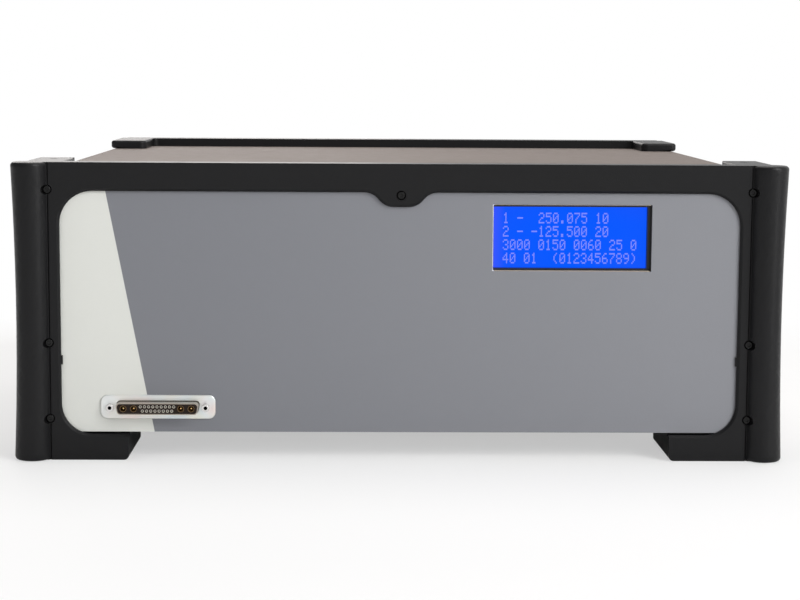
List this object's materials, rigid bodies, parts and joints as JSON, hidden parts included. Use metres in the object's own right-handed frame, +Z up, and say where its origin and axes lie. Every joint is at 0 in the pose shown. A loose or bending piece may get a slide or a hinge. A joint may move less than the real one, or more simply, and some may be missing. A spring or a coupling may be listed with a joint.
{
  "type": "potentiostat",
  "caption": "Benchtop potentiostat in a rack-width case with a moulded black front bezel, printed panel, blue display, multi-pin cell connector and open rear sockets.",
  "frame": {"origin": "on the surface the feet stand on, below the middle of the overall box", "axes": "+Z up, the front panel faces -Y, +X to the right seen from the front"},
  "size_m": [0.5134, 0.343, 0.2028],
  "materials": {
    "bezel": "fine black moulded texture",
    "panel": "satin paint with a printed pattern",
    "black_screw": "black oxide",
    "cover": "textured grey paint",
    "zinc": "zinc plated",
    "chromate": "yellow chromate",
    "nickel": "nickel plated",
    "gold": "gold plated",
    "black_plastic": "moulded",
    "white_plastic": "moulded",
    "display": "blue lit display",
    "board": "green solder mask",
    "ribbon": "grey flat cable",
    "aluminium": "extruded",
    "green_nut": "moulded",
    "winding": "taped copper winding",
    "rubber": "pad",
    "can": "sleeved can",
    "glass_tube": "fuse tube"
  },
  "bodies": {
    "case": {"front_bezel": "bezel", "bezel_screws": "black_screw", "front_panel": "panel", "panel_nuts": "zinc", "display_frame": "black_plastic", "display_glass": "display", "display_board": "board", "display_spacers": "zinc", "connector_plate": "chromate", "cell_shell": "nickel", "cell_insulator": "black_plastic", "cell_contacts": "gold", "coax_sleeves": "gold", "coax_pins": "gold", "cell_jackscrews": "nickel", "chassis_tray": "zinc", "top_cover": "cover", "cover_screws": "black_screw", "rear_panel": "zinc", "rear_frame": "bezel", "frame_screws": "black_screw", "fan_frame": "black_plastic", "fan_guard": "nickel", "fan_screws": "black_screw", "inlet_body": "black_plastic", "inlet_pins": "nickel", "bnc_bodies": "nickel", "bnc_insulators": "white_plastic", "bnc_contacts": "gold", "bnc_nuts": "nickel", "aux_shell": "nickel", "aux_insulator": "black_plastic", "aux_jackscrews": "nickel", "usb_shell": "nickel", "usb_tongue": "white_plastic", "ground_stem": "nickel", "ground_locknut": "nickel", "main_board": "board", "supply_board": "board", "board_standoffs": "zinc", "board_screws": "zinc", "shield_can": "nickel", "range_relays": "white_plastic", "cell_ribbon": "ribbon", "display_ribbon": "ribbon", "heatsink": "aluminium", "power_transistors": "black_plastic", "amplifier_spacers": "zinc", "amplifier_board": "board", "transformer": "winding", "transformer_pads": "rubber", "transformer_clamp": "zinc", "transformer_bolt": "zinc", "capacitors": "can"},
    "rotor": {"fan_rotor": "black_plastic"},
    "rocker": {"power_rocker": "black_plastic"},
    "drawer": {"fuse_drawer": "black_plastic", "fuses": "glass_tube"},
    "collar": {"ground_collar": "nickel"},
    "nut": {"ground_nut": "green_nut"}
  },
  "joints": [
    {"name": "rotor_spin", "type": "hinge", "parent": "case", "child": "rotor", "pos_m": [0.07, 0.1365, 0.108], "axis": [0, 1, 0], "continuous": true},
    {"name": "rocker_turn", "type": "hinge", "parent": "case", "child": "rocker", "pos_m": [0.172, 0.152, 0.124], "axis": [0, 0, 1], "range_deg": [0, 20]},
    {"name": "drawer_slide", "type": "slide", "parent": "case", "child": "drawer", "axis": [0, 1, 0], "range_m": [0, 0.018]},
    {"name": "collar_slide", "type": "slide", "parent": "case", "child": "collar", "axis": [0, 1, 0], "range_m": [0, 0.003]},
    {"name": "nut_turn", "type": "hinge", "parent": "collar", "child": "nut", "pos_m": [0.122, 0.1595, 0.048], "axis": [0, 1, 0], "range_deg": [0, 1085]}
  ],
  "couplings": [
    {"joint": "nut_turn", "follows": "collar_slide", "rad_per_m": 6283.2}
  ]
}
